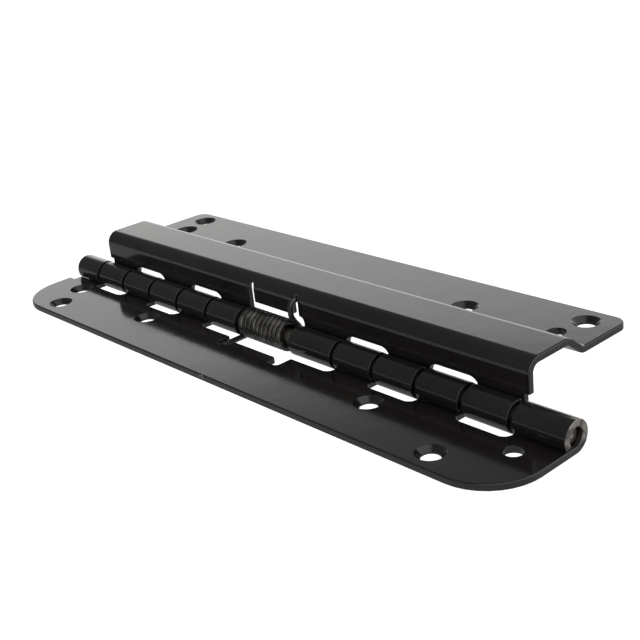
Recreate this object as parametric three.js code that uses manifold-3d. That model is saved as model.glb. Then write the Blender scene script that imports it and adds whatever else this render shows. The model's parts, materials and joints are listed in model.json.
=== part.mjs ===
// Spring-loaded piano hinge: a flat lower leaf, a stepped upper leaf, one long pin and a torsion spring.
// Millimetres, +Z up. X runs along the pin. The origin lies on the lower leaf's seating face,
// at mid length, midway between the knuckle slots and the front edge.
import * as THREE from 'three';
import { mergeVertices } from 'three/addons/utils/BufferGeometryUtils.js';
import Module from 'manifold-3d';

const wasm = await Module();
wasm.setup();

// ---- Driving dimensions ----
const SHEET = 2.0;              // thickness of both leaves
const PIN_RADIUS = 2.5;
const PIN_CLEARANCE = 0.05;     // radial gap between the pin and the rolled knuckles
const KNUCKLE_PITCH = 16;
const KNUCKLE_GAP = 1.4;        // gap between neighbouring knuckles
const KNUCKLES_PER_SIDE = 6;    // knuckles on each side of the spring bay
const SPRING_BAY = 27.6;        // stretch of the pin left bare for the spring
const BAY_STEAL = 3.4;          // how far the upper knuckle right of the bay reaches into it
const LEFT_RELIEF = 2.0;        // the leftmost knuckle stops this far short of the barrel's full length
const PIN_RECESS = 1.6;         // how far each pin end sits inside the barrel
const LEAF_FRONT = 29.5;        // pin axis to the lower leaf's front edge
const END_REACH = 0.8;          // lower leaf's ends, past the last knuckle's whole pitch
const STRIP_TOP = 19.2;         // seating face to the top of the raised strip
const STEP_DROP = 4.6;          // height lost in the step behind the strip
const STEP_START = 18.1;        // pin axis to the front of the step
const REAR_EDGE = 45.9;         // pin axis to the upper leaf's rear edge
const LEAF_INSET = 15.8;        // upper leaf's ends, in from the lower leaf's
const SLOT_REACH = { lower: 6.6, upper: 5.2 };  // pin axis to the far side of each knuckle slot
const BAY_REACH = { lower: 8.6, upper: 6.2 };   // the same, along the spring bay
const SLOT_CORNER = { lower: 2.4, upper: 3.2 };
const NOTCH_REACH = 12.4;       // pin axis to the far end of each spring notch
const FRONT_CORNER = 16;        // radius of the lower leaf's front corners
const REAR_CORNER = 4;          // radius of the upper leaf's rear corners
const WIRE = 1.8;               // spring wire diameter
const COIL_START = 1.2;         // end of the spring bay to the first wire centre
const COIL_LENGTH = 20.3;       // first to last wire centre, along the pin
const COIL_TURNS = 10;
const LEG_SETBACK = 0.8;        // pin axis to the standing leg, towards the upper leaf
const COIL_CLEARANCE = 0.65;    // coil's inside radius less the pin's
const COIL_RISE = 0.45;         // coil's axis above the pin's, where its legs hold it
const HOLE_RADIUS = 2.6;
const COUNTERSINK_RADIUS = 4.1;

// ---- Sizes that follow ----
const BORE_RADIUS = PIN_RADIUS + PIN_CLEARANCE;
const BARREL_RADIUS = BORE_RADIUS + SHEET;
const BARREL_LENGTH = 2 * KNUCKLES_PER_SIDE * KNUCKLE_PITCH + SPRING_BAY;
const HALF = BARREL_LENGTH / 2;
const AXIS_Z = BARREL_RADIUS;
const COIL_Z = AXIS_Z + COIL_RISE;
const LEAF_MIDDLE = (SLOT_REACH.lower + LEAF_FRONT) / 2;
const LOWER_HALF = HALF + END_REACH;
const UPPER_HALF = LOWER_HALF - LEAF_INSET;
const STEP_TOP = STRIP_TOP - STEP_DROP;
const ARC_STEP = THREE.MathUtils.degToRad(7.5);

const PAINT = { color: 0x171615, roughness: 0.22, metalness: 0.25 };
const STEEL = { color: 0x9a968d, roughness: 0.35, metalness: 0.9 };
const SPRING_STEEL = { color: 0x2b2a28, roughness: 0.35, metalness: 0.8 };

// ---- Solids ----
function toSolid(geometry) {
  const bare = geometry.index ? geometry.toNonIndexed() : geometry.clone();
  bare.deleteAttribute('normal');
  bare.deleteAttribute('uv');
  const merged = mergeVertices(bare, 1e-5);
  return new wasm.Manifold(new wasm.Mesh({
    numProp: 3,
    vertProperties: new Float32Array(merged.attributes.position.array),
    triVerts: new Uint32Array(merged.index.array),
  }));
}

function toGeometry(solid) {
  const mesh = solid.getMesh();
  const geometry = new THREE.BufferGeometry();
  geometry.setAttribute('position', new THREE.BufferAttribute(new Float32Array(mesh.vertProperties), 3));
  geometry.setIndex(new THREE.BufferAttribute(new Uint32Array(mesh.triVerts), 1));
  return geometry;
}

function subtractAll(solid, cutters) {
  return cutters.reduce((left, cutter) => left.subtract(toSolid(cutter)), solid);
}

// Extrudes a shape drawn in the YZ plane along X, from x0 to x1.
function extrudeAlongX(shape, x0, x1) {
  const geometry = new THREE.ExtrudeGeometry(shape, { depth: x1 - x0, bevelEnabled: false, curveSegments: 3 });
  const axes = new THREE.Matrix4().makeBasis(
    new THREE.Vector3(0, 1, 0), new THREE.Vector3(0, 0, 1), new THREE.Vector3(1, 0, 0));
  return geometry.applyMatrix4(axes).translate(x0, 0, 0);
}

// Extrudes a shape drawn in the XY plane up Z, from z0 to z1.
function extrudeAlongZ(shape, z0, z1) {
  const geometry = new THREE.ExtrudeGeometry(shape, { depth: z1 - z0, bevelEnabled: false, curveSegments: 3 });
  return geometry.translate(0, 0, z0);
}

// Follows the middle of a bent strip of sheet: straight runs and arcs, one after the other.
class SheetPath {
  constructor(y, z, heading) {
    this.heading = heading;
    this.points = [{ y, z, heading }];
  }

  step(length) {
    const last = this.points[this.points.length - 1];
    const y = last.y + length * Math.cos(this.heading);
    const z = last.z + length * Math.sin(this.heading);
    this.points.push({ y, z, heading: this.heading });
    return this;
  }

  // A positive angle turns left, seen from the +X end.
  turn(radius, angle) {
    const count = Math.max(2, Math.round(Math.abs(angle) / ARC_STEP));
    const side = Math.sign(angle);
    const last = this.points[this.points.length - 1];
    const centreY = last.y - side * radius * Math.sin(this.heading);
    const centreZ = last.z + side * radius * Math.cos(this.heading);
    const start = this.heading;
    for (let i = 1; i <= count; i += 1) {
      this.heading = start + (angle * i) / count;
      const y = centreY + side * radius * Math.sin(this.heading);
      const z = centreZ - side * radius * Math.cos(this.heading);
      this.points.push({ y, z, heading: this.heading });
    }
    return this;
  }

  // The closed outline of a sheet whose middle lies on this path.
  outline(thickness) {
    const offset = (point, distance) => new THREE.Vector2(
      point.y - distance * Math.sin(point.heading), point.z + distance * Math.cos(point.heading));
    const left = this.points.map((point) => offset(point, thickness / 2));
    const right = this.points.map((point) => offset(point, -thickness / 2));
    return new THREE.Shape([...right, ...left.reverse()]);
  }
}

// A rectangle whose two corners at y1 are rounded.
function roundedRectangle(x0, y0, x1, y1, radius) {
  const shape = new THREE.Shape();
  shape.moveTo(x0, y0);
  shape.lineTo(x1, y0);
  if (radius > 0) {
    shape.lineTo(x1, y1 - radius);
    shape.absarc(x1 - radius, y1 - radius, radius, 0, Math.PI / 2, false);
    shape.absarc(x0 + radius, y1 - radius, radius, Math.PI / 2, Math.PI, false);
  } else {
    shape.lineTo(x1, y1);
    shape.lineTo(x0, y1);
  }
  return shape;
}

// ---- Layout along the pin ----
// Knuckles alternate from each end of the barrel up to the spring bay, lower leaf first.
function knuckleSlots(leaf) {
  const slots = [];
  for (let i = 0; i < KNUCKLES_PER_SIDE; i += 1) {
    const owner = i % 2 === 0 ? 'lower' : 'upper';
    if (owner === leaf) continue;
    const from = HALF - (i + 1) * KNUCKLE_PITCH - KNUCKLE_GAP / 2;
    const to = HALF - i * KNUCKLE_PITCH + KNUCKLE_GAP / 2;
    // A slot beside the spring bay runs on into it.
    const inner = i === KNUCKLES_PER_SIDE - 1 ? 0 : from;
    slots.push([inner, to], [-to, -inner]);
  }
  return slots;
}

const BAY_HALF = SPRING_BAY / 2 + KNUCKLE_GAP / 2;

const NOTCHES = {
  lower: [[-BAY_HALF, -BAY_HALF + 4.7], [BAY_HALF - 4.7, BAY_HALF]],
  upper: [[-BAY_HALF, -BAY_HALF + 2.7], [BAY_HALF - 8.2, BAY_HALF - 5.5]],
};

// Every opening beside the barrel, as a rounded shape: x along the pin, y away from the pin axis.
function barrelOpenings(leaf, clear) {
  const opening = (from, to, reach, radius) => roundedRectangle(from, -clear, to, reach, radius);
  return [
    ...knuckleSlots(leaf).map(([from, to]) => opening(from, to, SLOT_REACH[leaf], SLOT_CORNER[leaf])),
    opening(-BAY_HALF, BAY_HALF - (leaf === 'upper' ? BAY_STEAL : 0), BAY_REACH[leaf], 1.6),
    ...NOTCHES[leaf].map(([from, to]) => opening(from, to, NOTCH_REACH, 1.2)),
  ];
}

// A hole's cutter, standing on the leaf with its countersink up.
function holeCutter({ x, y, plain }, top) {
  const below = SHEET + 1;
  const mouth = plain ? HOLE_RADIUS : COUNTERSINK_RADIUS;
  const profile = [
    [0, -below], [HOLE_RADIUS, -below], [HOLE_RADIUS, -SHEET * 0.75], [mouth, 0], [mouth, 1], [0, 1],
  ].map(([radius, z]) => new THREE.Vector2(radius, z));
  return new THREE.LatheGeometry(profile, 24).rotateX(Math.PI / 2).translate(x, y, top);
}

// The material outside a rounded corner, for trimming a sharp one. sx and sy point out of the corner.
function cornerCutter(x, y, sx, sy, radius, z0, z1) {
  const centre = new THREE.Vector2(x - sx * radius, y - sy * radius);
  const steps = 10;
  const points = [];
  for (let i = 0; i <= steps; i += 1) {
    const angle = (i / steps) * (Math.PI / 2);
    points.push(new THREE.Vector2(
      centre.x + sx * radius * Math.cos(angle), centre.y + sy * radius * Math.sin(angle)));
  }
  points.push(new THREE.Vector2(centre.x, y + 2 * sy));
  points.push(new THREE.Vector2(x + 2 * sx, y + 2 * sy));
  points.push(new THREE.Vector2(x + 2 * sx, centre.y));
  return extrudeAlongZ(new THREE.Shape(points), z0, z1);
}

// ---- Lower leaf ----
const LOWER_HOLES = [
  { x: -90.2, y: -22.9 },
  { x: 84.5, y: -22.9 },
  { x: -95.8, y: -10.9 },
  { x: 100.0, y: -10.6, plain: true },
  { x: -51.2, y: -13.0 },
  { x: 53.2, y: -13.0 },
];

function lowerLeaf() {
  const curl = THREE.MathUtils.degToRad(303);
  const path = new SheetPath(-LEAF_FRONT, SHEET / 2, 0)
    .step(LEAF_FRONT)
    .turn(BARREL_RADIUS - SHEET / 2, curl);
  const blank = toSolid(extrudeAlongX(path.outline(SHEET), -LOWER_HALF, LOWER_HALF));
  const top = 2 * BARREL_RADIUS + 1;
  // The openings' y points away from the pin, which is -Y on this leaf.
  const openings = barrelOpenings('lower', BARREL_RADIUS + 1)
    .map((shape) => extrudeAlongZ(shape, -top, 1).rotateX(Math.PI));
  const endRelief = extrudeAlongZ(
    roundedRectangle(-LOWER_HALF - 1, -BARREL_RADIUS - 1, LEFT_RELIEF - HALF, SLOT_REACH.lower, 0), -top, 1,
  ).rotateX(Math.PI);
  const corners = [-1, 1].map((side) => cornerCutter(
    side * LOWER_HALF, -LEAF_FRONT, side, -1, FRONT_CORNER, -1, SHEET + 1));
  const holes = LOWER_HOLES.map((hole) => holeCutter(hole, SHEET));
  return subtractAll(blank, [...openings, endRelief, ...corners, ...holes]);
}

// ---- Upper leaf ----
const UPPER_HOLES = [
  { x: -82.8, y: 29.0 },
  { x: 83.7, y: 28.8, plain: true },
  { x: -53.8, y: 29.0 },
  { x: 51.6, y: 29.0 },
  { x: -85.2, y: 39.4 },
  { x: 86.0, y: 38.7 },
];

// The leaf rises behind the barrel, bends back into the strip, and steps down to the rear plate.
function upperPath() {
  const slope = THREE.MathUtils.degToRad(38);
  const stepBend = 3.2;
  const wallBend = 3.2;
  const curl = THREE.MathUtils.degToRad(298);
  const bendDrop = 2 * stepBend * (1 - Math.cos(slope));
  const slopeLength = (STEP_DROP - bendDrop) / Math.sin(slope);
  const stepRun = 2 * stepBend * Math.sin(slope) + slopeLength * Math.cos(slope);
  const wallY = BARREL_RADIUS - SHEET / 2;
  return new SheetPath(REAR_EDGE, STEP_TOP - SHEET / 2, Math.PI)
    .step(REAR_EDGE - STEP_START - stepRun)
    .turn(stepBend, -slope)
    .step(slopeLength)
    .turn(stepBend, slope)
    .step(STEP_START - wallY - wallBend)
    .turn(wallBend, Math.PI / 2)
    .step(STRIP_TOP - SHEET / 2 - wallBend - AXIS_Z)
    .turn(wallY, -curl);
}

function upperLeaf() {
  const blank = toSolid(extrudeAlongX(upperPath().outline(SHEET), -UPPER_HALF, UPPER_HALF));
  const back = BARREL_RADIUS + 1;
  // The openings' y points away from the pin, which is +Z on this leaf.
  const openings = barrelOpenings('upper', back)
    .map((shape) => extrudeAlongZ(shape, -back, back).rotateX(Math.PI / 2).translate(0, 0, AXIS_Z));
  const corners = [-1, 1].map((side) => cornerCutter(
    side * UPPER_HALF, REAR_EDGE, side, 1, REAR_CORNER, STEP_TOP - SHEET - 1, STEP_TOP + 1));
  const holes = UPPER_HOLES.map((hole) => holeCutter(hole, STEP_TOP));
  return subtractAll(blank, [...openings, ...corners, ...holes]);
}

// ---- Pin ----
function hingePin() {
  const left = -HALF + LEFT_RELIEF + PIN_RECESS;
  const right = LOWER_HALF - PIN_RECESS;
  const chamfer = 0.5;
  const profile = [
    [0, left], [PIN_RADIUS - chamfer, left], [PIN_RADIUS, left + chamfer],
    [PIN_RADIUS, right - chamfer], [PIN_RADIUS - chamfer, right], [0, right],
  ].map(([radius, x]) => new THREE.Vector2(radius, x));
  return new THREE.LatheGeometry(profile, 48).rotateZ(-Math.PI / 2).translate(0, 0, AXIS_Z);
}

// ---- Torsion spring ----
class Coil extends THREE.Curve {
  constructor(radius, start, end, turns) {
    super();
    Object.assign(this, { radius, start, end, turns });
    this.arcLengthDivisions = 100 * Math.ceil(turns);
  }

  // The wire starts under the pin and climbs round behind it.
  getPoint(t, target = new THREE.Vector3()) {
    const angle = -Math.PI / 2 + t * 2 * Math.PI * this.turns;
    const x = THREE.MathUtils.lerp(this.start, this.end, t);
    return target.set(x, this.radius * Math.cos(angle), COIL_Z + this.radius * Math.sin(angle));
  }
}

// The left leg lies forward in the lower leaf's notch. The right leg turns up in front of the
// upper leaf, and its end hooks back through that leaf's notch.
function springPath(radius) {
  const start = -SPRING_BAY / 2 + COIL_START;
  const end = start + COIL_LENGTH;
  const legEnd = NOTCH_REACH - WIRE / 2 - 0.3;
  const hook = 2.6;
  const leaving = THREE.MathUtils.degToRad(40);
  const coil = new Coil(radius, start, end, COIL_TURNS + 0.25 + leaving / (2 * Math.PI));
  const off = coil.getPoint(1);
  const at = (y, z) => new THREE.Vector3(end, y, AXIS_Z + z);
  // The standing leg starts above the point where the coil's tangent meets its line.
  const knee = at(LEG_SETBACK, off.z - AXIS_Z + (off.y - LEG_SETBACK) / Math.tan(leaving));
  const foot = knee.clone().add(new THREE.Vector3(0, 0, 1.5));
  const path = new THREE.CurvePath();
  path.add(new THREE.LineCurve3(
    new THREE.Vector3(start, -legEnd, COIL_Z - radius), new THREE.Vector3(start, 0, COIL_Z - radius)));
  path.add(coil);
  path.add(new THREE.QuadraticBezierCurve3(off, knee, foot));
  path.add(new THREE.LineCurve3(foot, at(LEG_SETBACK, legEnd - hook)));
  path.add(new THREE.QuadraticBezierCurve3(
    at(LEG_SETBACK, legEnd - hook), at(LEG_SETBACK, legEnd), at(LEG_SETBACK + hook, legEnd)));
  path.add(new THREE.LineCurve3(at(LEG_SETBACK + hook, legEnd), at(LEG_SETBACK + hook + 1.6, legEnd)));
  path.arcLengthDivisions = 2000;
  return path;
}

function torsionSpring() {
  const radius = PIN_RADIUS + COIL_CLEARANCE + WIRE / 2;
  const path = springPath(radius);
  const section = new THREE.Shape();
  section.absarc(0, 0, WIRE / 2, 0, 2 * Math.PI, false);
  const stepsPerTurn = 18;
  const steps = Math.round(stepsPerTurn * path.getLength() / (2 * Math.PI * radius));
  return new THREE.ExtrudeGeometry(
    section, { steps, curveSegments: 4, bevelEnabled: false, extrudePath: path });
}

// ---- Assembly ----
function part(name, geometry, finish) {
  const mesh = new THREE.Mesh(geometry, new THREE.MeshStandardMaterial(finish));
  mesh.name = name;
  return mesh;
}

const hinge = new THREE.Group();
hinge.add(
  part('lower_leaf', toGeometry(lowerLeaf()), PAINT),
  part('upper_leaf', toGeometry(upperLeaf()), PAINT),
  part('hinge_pin', hingePin(), STEEL),
  part('torsion_spring', torsionSpring(), SPRING_STEEL),
);
hinge.position.y = LEAF_MIDDLE;

export default hinge;
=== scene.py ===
"""A spring-loaded piano hinge in gloss black paint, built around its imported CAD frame.

Each leaf is made as it is in a press: a flat blank with its holes, slots and softened edges is
drawn first, and then bent along its path. Sizes here are in millimetres until a mesh is written.
"""
import json
import math

import bmesh
import bpy
from mathutils import Matrix, Vector
from mathutils.geometry import tessellate_polygon


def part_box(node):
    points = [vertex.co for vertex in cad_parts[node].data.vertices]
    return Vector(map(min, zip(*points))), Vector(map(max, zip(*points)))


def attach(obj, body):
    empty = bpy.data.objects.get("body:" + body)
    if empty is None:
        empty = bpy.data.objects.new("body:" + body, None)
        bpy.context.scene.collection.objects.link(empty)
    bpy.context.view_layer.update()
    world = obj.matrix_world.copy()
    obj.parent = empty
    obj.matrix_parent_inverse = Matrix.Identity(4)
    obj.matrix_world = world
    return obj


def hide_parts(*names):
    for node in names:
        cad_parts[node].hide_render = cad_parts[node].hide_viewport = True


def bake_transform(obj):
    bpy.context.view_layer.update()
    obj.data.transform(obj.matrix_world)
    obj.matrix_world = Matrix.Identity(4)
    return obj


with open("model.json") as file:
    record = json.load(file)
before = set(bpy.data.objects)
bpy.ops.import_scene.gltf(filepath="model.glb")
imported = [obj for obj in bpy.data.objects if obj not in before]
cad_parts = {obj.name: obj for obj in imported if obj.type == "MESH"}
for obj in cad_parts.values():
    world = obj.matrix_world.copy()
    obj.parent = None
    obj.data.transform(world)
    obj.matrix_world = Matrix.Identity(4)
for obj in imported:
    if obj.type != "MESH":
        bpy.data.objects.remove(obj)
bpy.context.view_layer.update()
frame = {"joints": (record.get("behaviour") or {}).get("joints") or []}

MM = 0.001

# ---- Sizes, as in the CAD part ----
SHEET = 2.0
KNUCKLE_PITCH = 16
KNUCKLE_GAP = 1.4
KNUCKLES_PER_SIDE = 6
SPRING_BAY = 27.6
BAY_STEAL = 3.4            # how far the knuckle right of the bay reaches into it
LEFT_RELIEF = 2.0          # the leftmost knuckle stops short of the barrel's full length
STEP_DROP = 4.6
STEP_START = 18.1          # pin axis to the front of the step
SLOT_REACH = {"lower": 6.6, "upper": 5.2}
BAY_REACH = {"lower": 8.6, "upper": 6.2}
SLOT_CORNER = {"lower": 2.4, "upper": 3.2}
NOTCH_REACH = 12.4
NOTCH_WIDTH = 4.7
HOOK_NOTCH_NEAR = 5.5      # the notch that the standing leg hooks through, from the bay's right end
HOOK_NOTCH_FAR = 8.2
SPARE_NOTCH = 2.7          # width of the upper leaf's other notch, at the left end of the bay
FRONT_CORNER = 16
REAR_CORNER = 4
FORM_RADIUS = 3.2          # middle of the sheet, at the top bend and both step bends
STEP_SLOPE = math.radians(38)
CURL = {"lower": math.radians(303), "upper": math.radians(298)}
HOLE_RADIUS = 2.6
COUNTERSINK_RADIUS = 4.1
WIRE = 1.8
COIL_CLEARANCE = 0.65      # coil's inside radius less the pin's
COIL_RISE = 0.45           # coil's axis above the pin's, where its legs hold it
COIL_START = 1.2
COIL_LENGTH = 20.3
COIL_TURNS = 10
LEG_SETBACK = 0.8          # the standing leg's distance behind the pin's axis
LEG_LEAVES = math.radians(40)   # how far above its rearmost point the coil lets the standing leg go
LEG_GAP = 0.3              # between a leg's far side and the end of the notches' reach
LEG_FOOT = 1.5
HOOK_BEND = 2.6
HOOK_TIP = 1.6
WIRE_CUT = 0.3             # rounding of the wire's cut ends
PIN_CHAMFER = 0.45
MARK_DEPTH = 0.35          # the centre mark in each end of the pin
MARK_FLOOR = 0.45
MARK_RIM = 0.8

# ---- Corner radii of the flat blanks and of their edges ----
CRISP_CORNER = 0.2
TAB_CORNER = 0.5
SHOULDER_CORNER = 0.6
BAY_CORNER = {"lower": 0.9, "upper": 1.6}
NOTCH_CORNER = 1.2
NOTCH_LIP = 0.45
EDGE_TOP = 0.42
EDGE_BOTTOM = EDGE_TOP * 0.6
PLAIN_RIM = 0.2
COUNTERSINK_RIM = 0.25
COUNTERSINK_THROAT = 0.12
COUNTERSINK_DEPTH = SHEET * 0.75
HOLE_BOTTOM = 0.1
LEAD_IN = 4                # length of the straight run that gives a profile its first direction

# ---- How finely curves are divided ----
CORNER_STEP = math.radians(11)
BEND_STEP = math.radians(3)
PIN_CORNER_STEP = math.radians(20)
HOLE_SIDES = 56
PIN_SIDES = 72
WIRE_SIDES = 20
STEPS_PER_TURN = 40
CUT_STEPS = 4

# ---- Sizes read from the frame ----
LOWER_LOW, LOWER_HIGH = (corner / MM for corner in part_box("lower_leaf"))
UPPER_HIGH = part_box("upper_leaf")[1] / MM
PIN_LOW, PIN_HIGH = (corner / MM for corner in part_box("hinge_pin"))
AXIS = Vector(frame["joints"][0]["pos_m"]) / MM
BARREL_RADIUS = AXIS.z
CURL_RADIUS = BARREL_RADIUS - SHEET / 2
PIN_RADIUS = (PIN_HIGH.z - PIN_LOW.z) / 2
BARREL_HALF = KNUCKLES_PER_SIDE * KNUCKLE_PITCH + SPRING_BAY / 2
BAY_HALF = (SPRING_BAY + KNUCKLE_GAP) / 2
LEAF_FRONT = AXIS.y - LOWER_LOW.y
REAR_EDGE = UPPER_HIGH.y - AXIS.y
STRIP_TOP = UPPER_HIGH.z
STEP_TOP = STRIP_TOP - STEP_DROP

LOWER_HOLES = [
    (-90.2, -22.9, True),
    (84.5, -22.9, True),
    (-95.8, -10.9, True),
    (100.0, -10.6, False),
    (-51.2, -13.0, True),
    (53.2, -13.0, True),
]
UPPER_HOLES = [
    (-82.8, 29.0, True),
    (83.7, 28.8, False),
    (-53.8, 29.0, True),
    (51.6, 29.0, True),
    (-85.2, 39.4, True),
    (86.0, 38.7, True),
]


# ---- Outlines ----
class Stroke:
    """Points along a line with rounded corners, each with the unit normal on its right."""

    def __init__(self):
        self.points = []
        self.normals = []

    def add(self, point, normal):
        self.points.append(Vector(point))
        self.normals.append(Vector(normal))


def rounded(corners, closed, step=CORNER_STEP):
    """A stroke through corners (x, y, radius). An open stroke starts and ends at its end corners."""
    stroke = Stroke()
    count = len(corners)
    for i, (x, y, radius) in enumerate(corners):
        here = Vector((x, y))
        before = here - Vector(corners[i - 1][:2]) if closed or i > 0 else None
        after = Vector(corners[(i + 1) % count][:2]) - here if closed or i < count - 1 else None
        if before is None or after is None:
            along = (after or before).normalized()
            stroke.add(here, (along.y, -along.x))
            continue
        before.normalize()
        after.normalize()
        turn = math.atan2(before.x * after.y - before.y * after.x, before.dot(after))
        side = math.copysign(1, turn)
        cut = radius * math.tan(abs(turn) / 2)
        centre = here - before * cut + Vector((-before.y, before.x)) * side * radius
        steps = max(2, math.ceil(abs(turn) / step))
        for k in range(steps + 1):
            angle = turn * k / steps
            along = Vector((before.x * math.cos(angle) - before.y * math.sin(angle),
                            before.x * math.sin(angle) + before.y * math.cos(angle)))
            right = Vector((along.y, -along.x))
            stroke.add(centre + right * side * radius, right)
    return stroke


def circle(x, y, radius):
    """A hole's outline: the solid lies on the left, so it runs clockwise."""
    stroke = Stroke()
    for k in range(HOLE_SIDES):
        angle = -2 * math.pi * k / HOLE_SIDES
        spoke = Vector((math.cos(angle), math.sin(angle)))
        stroke.add(Vector((x, y)) + spoke * radius, -spoke)
    return stroke


def edge_profile():
    """The sheared edge, from the top face over to the bottom face: (distance into the solid, height)."""
    half = SHEET / 2
    corners = [(LEAD_IN, half, 0), (0, half, EDGE_TOP), (0, -half, EDGE_BOTTOM), (LEAD_IN, -half, 0)]
    return rounded(corners, False)


def hole_profile(countersunk):
    """A screw hole's wall, in the same form as the sheared edge."""
    half = SHEET / 2
    corners = [(LEAD_IN, half, 0)]
    if countersunk:
        corners.append((COUNTERSINK_RADIUS - HOLE_RADIUS, half, COUNTERSINK_RIM))
        corners.append((0, half - COUNTERSINK_DEPTH, COUNTERSINK_THROAT))
    else:
        corners.append((0, half, PLAIN_RIM))
    corners += [(0, -half, HOLE_BOTTOM), (LEAD_IN, -half, 0)]
    return rounded(corners, False)


# ---- Bent sheet ----
class BendPath:
    """The middle line of a bent sheet, seen from the +X end: straight runs and arcs."""

    def __init__(self, y, z, heading):
        self.runs = []
        self.cursor = (y, z, heading)
        self.length = 0.0

    def _append(self, length, curvature):
        y, z, heading = self.cursor
        self.runs.append((self.length, y, z, heading, curvature))
        self.length += length
        (y, z), heading = self.at(self.length)
        self.cursor = (y, z, heading)
        return self

    def straight(self, length):
        return self._append(length, 0.0)

    def turn(self, radius, angle):
        return self._append(radius * abs(angle), math.copysign(1 / radius, angle))

    def at(self, s):
        run = self.runs[0]
        for candidate in self.runs:
            if candidate[0] <= s + 1e-9:
                run = candidate
        start, y, z, heading, curvature = run
        t = s - start
        if curvature == 0:
            return (y + t * math.cos(heading), z + t * math.sin(heading)), heading
        end = heading + t * curvature
        return (y + (math.sin(end) - math.sin(heading)) / curvature,
                z - (math.cos(end) - math.cos(heading)) / curvature), end

    def cuts(self):
        """Where the flat blank needs an edge so that it can bend."""
        places = []
        ends = [run[0] for run in self.runs[1:]] + [self.length]
        for (start, _, _, _, curvature), end in zip(self.runs, ends):
            if curvature:
                count = max(2, math.ceil((end - start) * abs(curvature) / BEND_STEP))
                places += [start + (end - start) * k / count for k in range(count + 1)]
        return sorted(set(round(place, 6) for place in places if place < self.length - 1e-3))


def lower_path():
    """From the front edge back to below the pin, then rolled up behind it and over."""
    return (BendPath(-LEAF_FRONT, SHEET / 2, 0)
            .straight(LEAF_FRONT)
            .turn(CURL_RADIUS, CURL["lower"]))


def upper_path():
    """From the rear edge up the step, over the strip and down the wall, then rolled forward under the pin."""
    bend_drop = 2 * FORM_RADIUS * (1 - math.cos(STEP_SLOPE))
    slope = (STEP_DROP - bend_drop) / math.sin(STEP_SLOPE)
    step_run = 2 * FORM_RADIUS * math.sin(STEP_SLOPE) + slope * math.cos(STEP_SLOPE)
    return (BendPath(REAR_EDGE, STEP_TOP - SHEET / 2, math.pi)
            .straight(REAR_EDGE - STEP_START - step_run)
            .turn(FORM_RADIUS, -STEP_SLOPE)
            .straight(slope)
            .turn(FORM_RADIUS, STEP_SLOPE)
            .straight(STEP_START - CURL_RADIUS - FORM_RADIUS)
            .turn(FORM_RADIUS, math.pi / 2)
            .straight(STRIP_TOP - SHEET / 2 - FORM_RADIUS - BARREL_RADIUS)
            .turn(CURL_RADIUS, -CURL["upper"]))


def add_wall(bm, outline, profile, normal_layer, edge_layer):
    """The wall round one outline. Returns its first ring, at the top face, and its last, at the bottom."""
    rings = []
    for (depth, height), (into, up) in zip(profile.points[1:-1], profile.normals[1:-1]):
        ring = []
        for point, outward in zip(outline.points, outline.normals):
            flat = point - outward * depth
            vert = bm.verts.new((flat.x, flat.y, height))
            vert[normal_layer] = (-into * outward.x, -into * outward.y, up)
            ring.append(vert)
        rings.append(ring)
    count = len(outline.points)
    for upper_ring, lower_ring in zip(rings, rings[1:]):
        for k in range(count):
            after = (k + 1) % count
            face = bm.faces.new((upper_ring[k], lower_ring[k], lower_ring[after], upper_ring[after]))
            face[edge_layer] = 1.0
    return rings[0], rings[-1]


def add_cap(bm, loops, facing):
    """Fills the flat between the loops of vertices, facing up (+1) or down (-1)."""
    verts = [vert for loop in loops for vert in loop]
    for triangle in tessellate_polygon([[vert.co for vert in loop] for loop in loops]):
        corners = [verts[i] for i in triangle]
        across = (corners[1].co - corners[0].co).cross(corners[2].co - corners[0].co).z
        if across * facing < 0:
            corners.reverse()
        bm.faces.new(corners)


def bend(bm, path, top_side, normal_layer):
    """Moves every vertex of the flat plate onto the path, and returns their bent normals."""
    normals = []
    for vert in bm.verts:
        x, s, height = vert.co
        (y, z), heading = path.at(s)
        left = height * top_side
        forward = Vector((0, math.cos(heading), math.sin(heading)))
        sideways = Vector((0, -math.sin(heading), math.cos(heading)))
        nx, ns, nh = vert[normal_layer]
        vert.co = Vector((x, AXIS.y + y, z)) * MM + sideways * left * MM
        normals.append((Vector((nx, 0, 0)) + forward * ns + sideways * nh * top_side).normalized())
    return normals


def bent_sheet(name, path, strokes, top_side):
    """Builds a flat plate from (outline, profile) pairs, the outer one first, and bends it along path.

    top_side is +1 where the plate's top lies on the left of the path, and -1 where it lies on the right.
    """
    bm = bmesh.new()
    normal_layer = bm.verts.layers.float_vector.new("flat_normal")
    edge_layer = bm.faces.layers.float.new("sheared_edge")
    walls = [add_wall(bm, outline, profile, normal_layer, edge_layer) for outline, profile in strokes]
    add_cap(bm, [top for top, _ in walls], 1)
    add_cap(bm, [bottom for _, bottom in walls], -1)
    for place in path.cuts():
        everything = bm.verts[:] + bm.edges[:] + bm.faces[:]
        bmesh.ops.bisect_plane(bm, geom=everything, dist=1e-6, plane_co=(0, place, 0), plane_no=(0, 1, 0))
    normals = bend(bm, path, top_side, normal_layer)
    if top_side < 0:
        bmesh.ops.reverse_faces(bm, faces=bm.faces[:])
    return finish_mesh(name, bm, normals)


def finish_mesh(name, bm, normals):
    """Turns the bmesh into an object in the scene, shaded by the normals given for its vertices."""
    mesh = bpy.data.meshes.new(name)
    bm.to_mesh(mesh)
    bm.free()
    mesh.shade_smooth()
    mesh.normals_split_custom_set_from_vertices(normals)
    piece = bpy.data.objects.new(name, mesh)
    bpy.context.scene.collection.objects.link(piece)
    return piece


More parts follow.
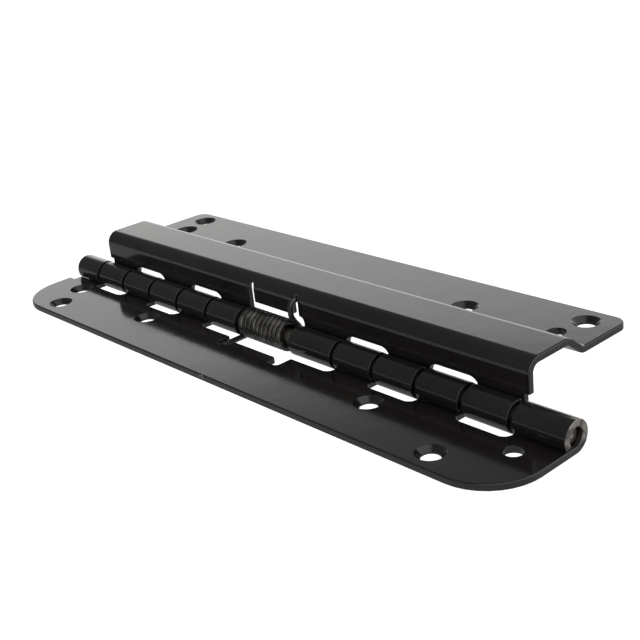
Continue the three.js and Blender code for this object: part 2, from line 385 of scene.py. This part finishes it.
# ---- Leaf blanks ----
def knuckle_tabs(leaf):
    """(low x, high x) of the leaf's knuckles, from right to left. They alternate from each end."""
    tabs = []
    for i in range(KNUCKLES_PER_SIDE):
        owner = "lower" if i % 2 == 0 else "upper"
        if owner == leaf:
            high = BARREL_HALF - i * KNUCKLE_PITCH - (KNUCKLE_GAP / 2 if i else 0)
            low = BARREL_HALF - (i + 1) * KNUCKLE_PITCH + KNUCKLE_GAP / 2
            tabs += [(low, high), (-high, -low)]
    tabs.sort(reverse=True)
    if leaf == "lower":
        tabs[0] = (tabs[0][0], LOWER_HIGH.x)
        tabs[-1] = (tabs[-1][0] + LEFT_RELIEF, tabs[-1][1])
    else:
        beside_bay = KNUCKLES_PER_SIDE // 2 - 1
        tabs[beside_bay] = (BAY_HALF - BAY_STEAL, tabs[beside_bay][1])
    return tabs


def lower_bay(low, after, pin_place):
    """The lower leaf's edge round the spring bay, between the knuckles whose sides are at low and after."""
    slot = pin_place - SLOT_REACH["lower"]
    bay = pin_place - BAY_REACH["lower"]
    notch = pin_place - NOTCH_REACH
    inner = BAY_HALF - NOTCH_WIDTH
    right_half = [
        (low, slot, SLOT_CORNER["lower"]),
        (BAY_HALF, slot, SHOULDER_CORNER),
        (BAY_HALF, notch, NOTCH_CORNER),
        (inner, notch, NOTCH_CORNER),
        (inner, bay, BAY_CORNER["lower"]),
    ]
    left_half = [(-x, s, radius) for x, s, radius in reversed(right_half[1:])]
    return right_half + left_half + [(after, slot, SLOT_CORNER["lower"])]


def upper_bay(low, after, pin_place):
    """The upper leaf's edge round the spring bay, with a notch at the standing leg and one at the left."""
    bay = pin_place - BAY_REACH["upper"]
    notch = pin_place - NOTCH_REACH
    hook_right = BAY_HALF - HOOK_NOTCH_NEAR
    hook_left = BAY_HALF - HOOK_NOTCH_FAR
    spare_right = after + SPARE_NOTCH
    return [
        (low, bay, BAY_CORNER["upper"]),
        (hook_right, bay, NOTCH_LIP),
        (hook_right, notch, NOTCH_CORNER),
        (hook_left, notch, NOTCH_CORNER),
        (hook_left, bay, NOTCH_LIP),
        (spare_right, bay, NOTCH_LIP),
        (spare_right, notch, NOTCH_CORNER),
        (after, notch, NOTCH_CORNER),
    ]


def blank(leaf, path, pin_place, half_length, corner, holes):
    """The flat blank: its outer edge as a comb of knuckle tabs, and its screw holes."""
    slot = pin_place - SLOT_REACH[leaf]
    bay_edge = {"lower": lower_bay, "upper": upper_bay}[leaf]
    tabs = knuckle_tabs(leaf)
    corners = [(-half_length, 0, corner), (half_length, 0, corner)]
    if tabs[0][1] < half_length - 1e-3:
        corners += [(half_length, slot, CRISP_CORNER), (tabs[0][1], slot, CRISP_CORNER)]
    for i, (low, high) in enumerate(tabs):
        corners += [(high, path.length, TAB_CORNER), (low, path.length, TAB_CORNER)]
        if i == len(tabs) - 1:
            continue
        after = tabs[i + 1][1]
        if low > 0 > after:
            corners += bay_edge(low, after, pin_place)
        else:
            corners += [(low, slot, SLOT_CORNER[leaf]), (after, slot, SLOT_CORNER[leaf])]
    corners += [(tabs[-1][0], slot, CRISP_CORNER), (-half_length, slot, CRISP_CORNER)]
    strokes = [(rounded(corners, True), edge_profile())]
    for x, s, countersunk in holes:
        strokes.append((circle(x, s, HOLE_RADIUS), hole_profile(countersunk)))
    return strokes


def lower_leaf():
    path = lower_path()
    holes = [(x, LEAF_FRONT + y, countersunk) for x, y, countersunk in LOWER_HOLES]
    strokes = blank("lower", path, LEAF_FRONT, LOWER_HIGH.x, FRONT_CORNER, holes)
    return bent_sheet("lower_leaf_sheet", path, strokes, 1)


def upper_leaf():
    path = upper_path()
    pin_place = path.length - CURL_RADIUS * CURL["upper"]
    holes = [(x, REAR_EDGE - y, countersunk) for x, y, countersunk in UPPER_HOLES]
    strokes = blank("upper", path, pin_place, UPPER_HIGH.x, REAR_CORNER, holes)
    return bent_sheet("upper_leaf_sheet", path, strokes, -1)


# ---- Pin ----
def hinge_pin():
    """The pin, turned about X, with a chamfer and a shallow centre mark at each end."""
    end = [                # (distance in from the end, radius, rounding)
        (MARK_DEPTH, 0.0, 0),
        (MARK_DEPTH, MARK_FLOOR, 0.1),
        (0, MARK_RIM, 0.15),
        (0, PIN_RADIUS - PIN_CHAMFER, 0.1),
        (PIN_CHAMFER, PIN_RADIUS, 0.2),
    ]
    corners = [(PIN_LOW.x + inset, radius, rounding) for inset, radius, rounding in end]
    corners += [(PIN_HIGH.x - inset, radius, rounding) for inset, radius, rounding in reversed(end)]
    profile = rounded(corners, False, PIN_CORNER_STEP)
    bm = bmesh.new()
    normals = []
    rings = []
    for (x, radius), (along, out) in zip(profile.points, profile.normals):
        ring = []
        for k in range(PIN_SIDES if radius > 1e-6 else 1):
            angle = 2 * math.pi * k / PIN_SIDES
            spoke = Vector((0, math.cos(angle), math.sin(angle)))
            ring.append(bm.verts.new((Vector((x, AXIS.y, AXIS.z)) + spoke * radius) * MM))
            normals.append((Vector((-along, 0, 0)) - spoke * out).normalized())
        rings.append(ring)
    join_rings(bm, rings, PIN_SIDES)
    return finish_mesh("hinge_pin_turned", bm, normals)


def join_rings(bm, rings, sides):
    """Faces between rings of a closed tube. A ring of one vertex is its tip."""
    for first, second in zip(rings, rings[1:]):
        for k in range(sides):
            after = (k + 1) % sides
            corners = [first[k % len(first)], first[after % len(first)],
                       second[after % len(second)], second[k % len(second)]]
            bm.faces.new(list(dict.fromkeys(corners)))
    bmesh.ops.recalc_face_normals(bm, faces=bm.faces[:])


# ---- Torsion spring ----
COIL_LEFT = -SPRING_BAY / 2 + COIL_START
COIL_RIGHT = COIL_LEFT + COIL_LENGTH


def line(start, end, steps):
    """Points from start towards end, without end itself."""
    return [start.lerp(end, k / steps) for k in range(steps)]


def curve(start, control, end, steps):
    """Points round a soft corner at control, without end itself."""
    points = []
    for k in range(steps):
        t = k / steps
        points.append(start.lerp(control, t).lerp(control.lerp(end, t), t))
    return points


def beside_axis(x, y, z):
    """A point given by its place along the pin's axis, and its distances behind and above it."""
    return Vector((x, AXIS.y + y, AXIS.z + z))


def coil_points(radius):
    """The coil, from the bottom of its left end to where the standing leg leaves it."""
    turns = COIL_TURNS + 0.25 + LEG_LEAVES / (2 * math.pi)
    steps = math.ceil(turns * STEPS_PER_TURN)
    points = []
    for k in range(steps + 1):
        angle = -math.pi / 2 + 2 * math.pi * turns * k / steps
        x = COIL_LEFT + COIL_LENGTH * k / steps
        points.append(beside_axis(x, radius * math.cos(angle), COIL_RISE + radius * math.sin(angle)))
    return points


def spring_route():
    """The wire's middle line: a leg forward, the coil, and a leg up that hooks back at its end."""
    radius = PIN_RADIUS + COIL_CLEARANCE + WIRE / 2
    leg_end = NOTCH_REACH - WIRE / 2 - LEG_GAP
    coil = coil_points(radius)
    off = coil.pop()
    knee_height = off.z - AXIS.z + (off.y - AXIS.y - LEG_SETBACK) / math.tan(LEG_LEAVES)
    knee = beside_axis(COIL_RIGHT, LEG_SETBACK, knee_height)
    foot = beside_axis(COIL_RIGHT, LEG_SETBACK, knee_height + LEG_FOOT)
    below_hook = beside_axis(COIL_RIGHT, LEG_SETBACK, leg_end - HOOK_BEND)
    corner = beside_axis(COIL_RIGHT, LEG_SETBACK, leg_end)
    turned = beside_axis(COIL_RIGHT, LEG_SETBACK + HOOK_BEND, leg_end)
    tip = beside_axis(COIL_RIGHT, LEG_SETBACK + HOOK_BEND + HOOK_TIP, leg_end)
    bottom = COIL_RISE - radius
    route = line(beside_axis(COIL_LEFT, -leg_end, bottom), beside_axis(COIL_LEFT, 0, bottom), 24)
    route += coil
    route += curve(off, knee, foot, 10)
    route += line(foot, below_hook, 12)
    route += curve(below_hook, corner, turned, 14)
    route += line(turned, tip, 6)
    route.append(tip)
    return route


def cut_end(point, outward):
    """Sections (centre, direction, radius, lean of the normal) that round a cut end over to its middle."""
    sections = []
    for k in range(1, CUT_STEPS + 1):
        angle = math.pi / 2 * k / CUT_STEPS
        offset = outward * (WIRE_CUT * math.sin(angle) - WIRE_CUT)
        radius = WIRE / 2 - WIRE_CUT + WIRE_CUT * math.cos(angle)
        sections.append((point + offset, outward, radius, math.sin(angle)))
    sections.append((point, outward, 0.0, 1.0))
    return sections


def torsion_spring():
    """A round wire swept along the route, with its cut ends slightly rounded."""
    route = spring_route()
    tangents = []
    for k, point in enumerate(route):
        ahead = route[min(k + 1, len(route) - 1)]
        behind = route[max(k - 1, 0)]
        tangents.append((ahead - behind).normalized())
    sections = [(point, tangent, WIRE / 2, 0.0) for point, tangent in zip(route, tangents)]
    sections[0] = (route[0] + tangents[0] * WIRE_CUT, tangents[0], WIRE / 2, 0.0)
    sections[-1] = (route[-1] - tangents[-1] * WIRE_CUT, tangents[-1], WIRE / 2, 0.0)
    first_end = reversed(cut_end(route[0], -tangents[0]))
    first = [(point, -outward, radius, -lean) for point, outward, radius, lean in first_end]
    sections = first + sections + cut_end(route[-1], tangents[-1])
    bm = bmesh.new()
    normals = []
    rings = []
    spoke = Vector((1, 0, 0)).cross(sections[0][1]).normalized()
    for point, tangent, radius, lean in sections:
        spoke = (spoke - tangent * spoke.dot(tangent)).normalized()
        side = tangent.cross(spoke)
        ring = []
        for k in range(WIRE_SIDES if radius > 1e-6 else 1):
            angle = 2 * math.pi * k / WIRE_SIDES
            out = spoke * math.cos(angle) + side * math.sin(angle)
            ring.append(bm.verts.new((point + out * radius) * MM))
            normals.append((out * math.sqrt(1 - lean * lean) + tangent * lean).normalized())
        rings.append(ring)
    join_rings(bm, rings, WIRE_SIDES)
    return finish_mesh("torsion_spring_wire", bm, normals)


# ---- Materials ----
PAINT_BLACK = (0.0035, 0.003, 0.0028)
PAINT_FADED = (0.006, 0.0054, 0.005)
BARE_STEEL = (0.36, 0.34, 0.31)
PIN_BRIGHT = (0.46, 0.44, 0.41)
PIN_STAINED = (0.2, 0.18, 0.16)
WIRE_BLACK = (0.05, 0.048, 0.045)
WIRE_RUBBED = (0.19, 0.183, 0.172)


def new_material(name):
    material = bpy.data.materials.new(name)
    material.use_nodes = True
    tree = material.node_tree
    return material, tree, tree.nodes["Principled BSDF"]


def node(tree, kind, **values):
    """A new node. Each value sets the input of that name, or else the node's own setting."""
    made = tree.nodes.new(kind)
    for key, value in values.items():
        if key in made.inputs.keys():
            made.inputs[key].default_value = value
        else:
            setattr(made, key, value)
    return made


def noise(tree, scale, detail=2.0, roughness=0.5, stretch=(1, 1, 1)):
    """Noise with its grain in metres: scale is how many features fit in one metre."""
    place = node(tree, "ShaderNodeTexCoord")
    mapping = node(tree, "ShaderNodeMapping")
    mapping.inputs["Scale"].default_value = stretch
    made = node(tree, "ShaderNodeTexNoise", Scale=scale, Detail=detail, Roughness=roughness)
    tree.links.new(place.outputs["Object"], mapping.inputs["Vector"])
    tree.links.new(mapping.outputs["Vector"], made.inputs["Vector"])
    return made.outputs["Fac"]


def fill(tree, socket, value):
    """Links the socket to value, or sets it where value is a number or a colour."""
    if isinstance(value, bpy.types.NodeSocket):
        tree.links.new(value, socket)
    elif isinstance(value, tuple):
        socket.default_value = (*value, 1)
    else:
        socket.default_value = value


def remap(tree, value, low, high, out_low, out_high, interpolation="LINEAR"):
    """Turns the range from low to high into the range from out_low to out_high."""
    made = node(tree, "ShaderNodeMapRange", interpolation_type=interpolation)
    names = ("Value", "From Min", "From Max", "To Min", "To Max")
    for name, given in zip(names, (value, low, high, out_low, out_high)):
        fill(tree, made.inputs[name], given)
    return made.outputs["Result"]


def ease(tree, value, low, high, out_high):
    """Rises smoothly from 0 at low to out_high at high."""
    return remap(tree, value, low, high, 0, out_high, "SMOOTHSTEP")


def combine(tree, operation, first, second):
    made = node(tree, "ShaderNodeMath", operation=operation)
    fill(tree, made.inputs[0], first)
    fill(tree, made.inputs[1], second)
    return made.outputs["Value"]


def multiply(tree, first, second):
    return combine(tree, "MULTIPLY", first, second)


def larger(tree, first, second):
    return combine(tree, "MAXIMUM", first, second)


def mix_colour(tree, factor, first, second):
    made = node(tree, "ShaderNodeMix", data_type="RGBA")
    for slot, value in ((0, factor), (6, first), (7, second)):
        fill(tree, made.inputs[slot], value)
    return made.outputs[2]


def mix_number(tree, factor, first, second):
    made = node(tree, "ShaderNodeMix", data_type="FLOAT")
    for slot, value in ((0, factor), (2, first), (3, second)):
        fill(tree, made.inputs[slot], value)
    return made.outputs[0]


def bump(tree, height, strength, distance, below=None):
    made = node(tree, "ShaderNodeBump", Strength=strength, Distance=distance)
    tree.links.new(height, made.inputs["Height"])
    if below is not None:
        tree.links.new(below, made.inputs["Normal"])
    return made.outputs["Normal"]


def gloss_black_paint():
    """Sprayed gloss black with a fine orange peel. Its sheared edges are chipped to the steel in places,
    and the right end of the barrel is rubbed.
    """
    material, tree, shader = new_material("gloss_black_paint")
    edge = node(tree, "ShaderNodeAttribute", attribute_name="sheared_edge").outputs["Fac"]
    chips = remap(tree, noise(tree, 300, 4, 0.6), 0.68, 0.71, 0, 0.8)
    place = node(tree, "ShaderNodeSeparateXYZ")
    tree.links.new(node(tree, "ShaderNodeTexCoord").outputs["Object"], place.inputs["Vector"])
    end_face = remap(tree, place.outputs["X"], (LOWER_HIGH.x - 0.5) * MM, (LOWER_HIGH.x - 0.1) * MM, 0, 1)
    on_barrel = remap(tree, place.outputs["Z"], SHEET * MM, 2 * SHEET * MM, 0, 1)
    scuffed = remap(tree, noise(tree, 380, 4, 0.6), 0.44, 0.54, 0.1, 0.75)
    rubbed = multiply(tree, multiply(tree, end_face, on_barrel), scuffed)
    worn = multiply(tree, edge, larger(tree, chips, rubbed))
    tone = remap(tree, noise(tree, 35, 3), 0.35, 0.65, 0, 1)
    paint = mix_colour(tree, tone, PAINT_BLACK, PAINT_FADED)
    tree.links.new(mix_colour(tree, worn, paint, BARE_STEEL), shader.inputs["Base Color"])
    sheen = remap(tree, noise(tree, 60, 4, 0.6), 0.3, 0.7, 0.085, 0.14)
    tree.links.new(mix_number(tree, worn, sheen, 0.42), shader.inputs["Roughness"])
    tree.links.new(worn, shader.inputs["Metallic"])
    peel = bump(tree, noise(tree, 900, 2), 0.12, 0.00006)
    ripple = bump(tree, noise(tree, 130, 2), 0.12, 0.00025, peel)
    tree.links.new(ripple, shader.inputs["Normal"])
    shader.inputs["IOR"].default_value = 1.6
    shader.inputs["Coat Weight"].default_value = 0.35
    shader.inputs["Coat Roughness"].default_value = 0.07
    return material


def pin_steel():
    """Cold-drawn steel with faint lines along it and darker stains."""
    material, tree, shader = new_material("pin_steel")
    stain = remap(tree, noise(tree, 90, 4, 0.65), 0.4, 0.7, 0, 1)
    tree.links.new(mix_colour(tree, stain, PIN_BRIGHT, PIN_STAINED), shader.inputs["Base Color"])
    lines = noise(tree, 1500, 3, 0.6, (0.05, 1, 1))
    tree.links.new(remap(tree, lines, 0.3, 0.7, 0.28, 0.48), shader.inputs["Roughness"])
    tree.links.new(bump(tree, lines, 0.2, 0.00003), shader.inputs["Normal"])
    shader.inputs["Metallic"].default_value = 1.0
    return material


def spring_black():
    """Spring wire with a black finish, rubbed a little in places."""
    material, tree, shader = new_material("spring_black")
    rub = remap(tree, noise(tree, 260, 4, 0.6), 0.45, 0.72, 0, 1)
    tree.links.new(mix_colour(tree, rub, WIRE_BLACK, WIRE_RUBBED), shader.inputs["Base Color"])
    tree.links.new(remap(tree, noise(tree, 500, 2), 0.3, 0.7, 0.16, 0.26), shader.inputs["Roughness"])
    tree.links.new(bump(tree, noise(tree, 1400, 2), 0.08, 0.00002), shader.inputs["Normal"])
    shader.inputs["Metallic"].default_value = 0.9
    shader.inputs["Coat Weight"].default_value = 0.4
    shader.inputs["Coat Roughness"].default_value = 0.15
    return material


def floor_white():
    """Plain white paper. It is made darker in the paint's reflections than it looks to the camera."""
    material, tree, shader = new_material("floor_white")
    grain = remap(tree, noise(tree, 3, 2), 0, 1, 0.86, 0.88)
    glossy = node(tree, "ShaderNodeLightPath").outputs["Is Glossy Ray"]
    shaded = mix_number(tree, glossy, grain, FLOOR_IN_GLOSS)
    tint = node(tree, "ShaderNodeCombineColor")
    for channel in tint.inputs:
        tree.links.new(shaded, channel)
    tree.links.new(tint.outputs["Color"], shader.inputs["Base Color"])
    shader.inputs["Roughness"].default_value = 0.9
    return material


# ---- Setting ----
FLOOR_HALF = 6             # in metres, as FLOOR_DROP and CAMERA_PLACE are
FLOOR_DROP = 0.12          # the hinge is held above the floor so that its upper leaf can swing down
FLOOR_IN_GLOSS = 0.22
ROOM_WHITE = 1.5           # what lights the floor, and what the camera sees past it
BACK_WALL = [              # (sine of elevation, brightness) behind the hinge
    (0.0, 1.5),
    (0.2, 1.3),
    (0.31, 1.13),
    (0.38, 1.1),
    (0.43, 0.55),
    (0.48, 0.24),
    (0.56, 0.14),
    (1.0, 0.12),
]
ROOM_DIM = 0.12            # overhead and in front
SIDE_FILL = 0.75           # from the right-hand end
CAMERA_YAW = math.radians(49.886)
CAMERA_PITCH = math.radians(22.424)
CAMERA_ROLL = math.radians(-6.404)
CAMERA_PLACE = Vector((0.2521, -0.1760, 0.1379))
CAMERA_LENS = 63.48


def add_floor():
    bm = bmesh.new()
    bmesh.ops.create_grid(bm, x_segments=8, y_segments=8, size=FLOOR_HALF)
    bmesh.ops.translate(bm, verts=bm.verts, vec=(0, 0, -FLOOR_DROP))
    mesh = bpy.data.meshes.new("floor")
    bm.to_mesh(mesh)
    bm.free()
    floor = bpy.data.objects.new("floor", mesh)
    bpy.context.scene.collection.objects.link(floor)
    mesh.materials.append(floor_white())


def height_curve(tree, height, levels):
    """A brightness for each sine of elevation."""
    brightest = max(bright for _, bright in levels)
    made = node(tree, "ShaderNodeFloatCurve")
    points = made.mapping.curves[0].points
    while len(points) < len(levels):
        points.new(0.5, 0.5)
    for point, (level, bright) in zip(points, levels):
        point.location = (level, bright / brightest)
    made.mapping.update()
    tree.links.new(height, made.inputs["Value"])
    return multiply(tree, made.outputs["Value"], brightest)


def add_world():
    """A white room. The gloss sees it bright low down behind the hinge and dim overhead and in front."""
    world = bpy.data.worlds.new("studio")
    bpy.context.scene.world = world
    world.use_nodes = True
    tree = world.node_tree
    direction = node(tree, "ShaderNodeSeparateXYZ")
    tree.links.new(node(tree, "ShaderNodeTexCoord").outputs["Generated"], direction.inputs["Vector"])
    behind = ease(tree, direction.outputs["Y"], 0.02, 0.3, 1.0)
    back = multiply(tree, behind, height_curve(tree, direction.outputs["Z"], BACK_WALL))
    side = ease(tree, direction.outputs["X"], 0.0, 0.45, SIDE_FILL)
    in_gloss = larger(tree, larger(tree, back, side), ROOM_DIM)
    glossy = node(tree, "ShaderNodeLightPath").outputs["Is Glossy Ray"]
    background = tree.nodes["Background"]
    background.inputs["Color"].default_value = (1, 0.995, 0.985, 1)
    tree.links.new(mix_number(tree, glossy, ROOM_WHITE, in_gloss), background.inputs["Strength"])
    bpy.context.scene.view_settings.view_transform = "Standard"


def add_camera():
    """Turned left from +Y by the yaw, down by the pitch and round its own axis by the roll."""
    forward = Vector((-math.sin(CAMERA_YAW) * math.cos(CAMERA_PITCH),
                      math.cos(CAMERA_YAW) * math.cos(CAMERA_PITCH), -math.sin(CAMERA_PITCH)))
    level = forward.cross(Vector((0, 0, 1))).normalized()
    above = level.cross(forward)
    right = level * math.cos(CAMERA_ROLL) + above * math.sin(CAMERA_ROLL)
    up = above * math.cos(CAMERA_ROLL) - level * math.sin(CAMERA_ROLL)
    data = bpy.data.cameras.new("camera")
    data.lens = CAMERA_LENS
    data.clip_start = 0.01
    camera = bpy.data.objects.new("camera", data)
    bpy.context.scene.collection.objects.link(camera)
    facing = Matrix((right, up, -forward)).transposed().to_4x4()
    camera.matrix_world = Matrix.Translation(CAMERA_PLACE) @ facing
    bpy.context.scene.camera = camera


# ---- Assembly ----
def fit_pieces():
    paint = gloss_black_paint()
    leaves = ((lower_leaf(), "lower", "lower_leaf"), (upper_leaf(), "upper", "upper_leaf"))
    for piece, body, cad_node in leaves:
        piece.data.materials.append(paint)
        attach(piece, body)
        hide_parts(cad_node)
    pin = hinge_pin()
    pin.data.materials.append(pin_steel())
    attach(pin, "lower")
    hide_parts("hinge_pin")
    spring = torsion_spring()
    spring.data.materials.append(spring_black())
    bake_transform(spring)
    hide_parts("torsion_spring")


fit_pieces()
add_floor()
add_world()
add_camera()
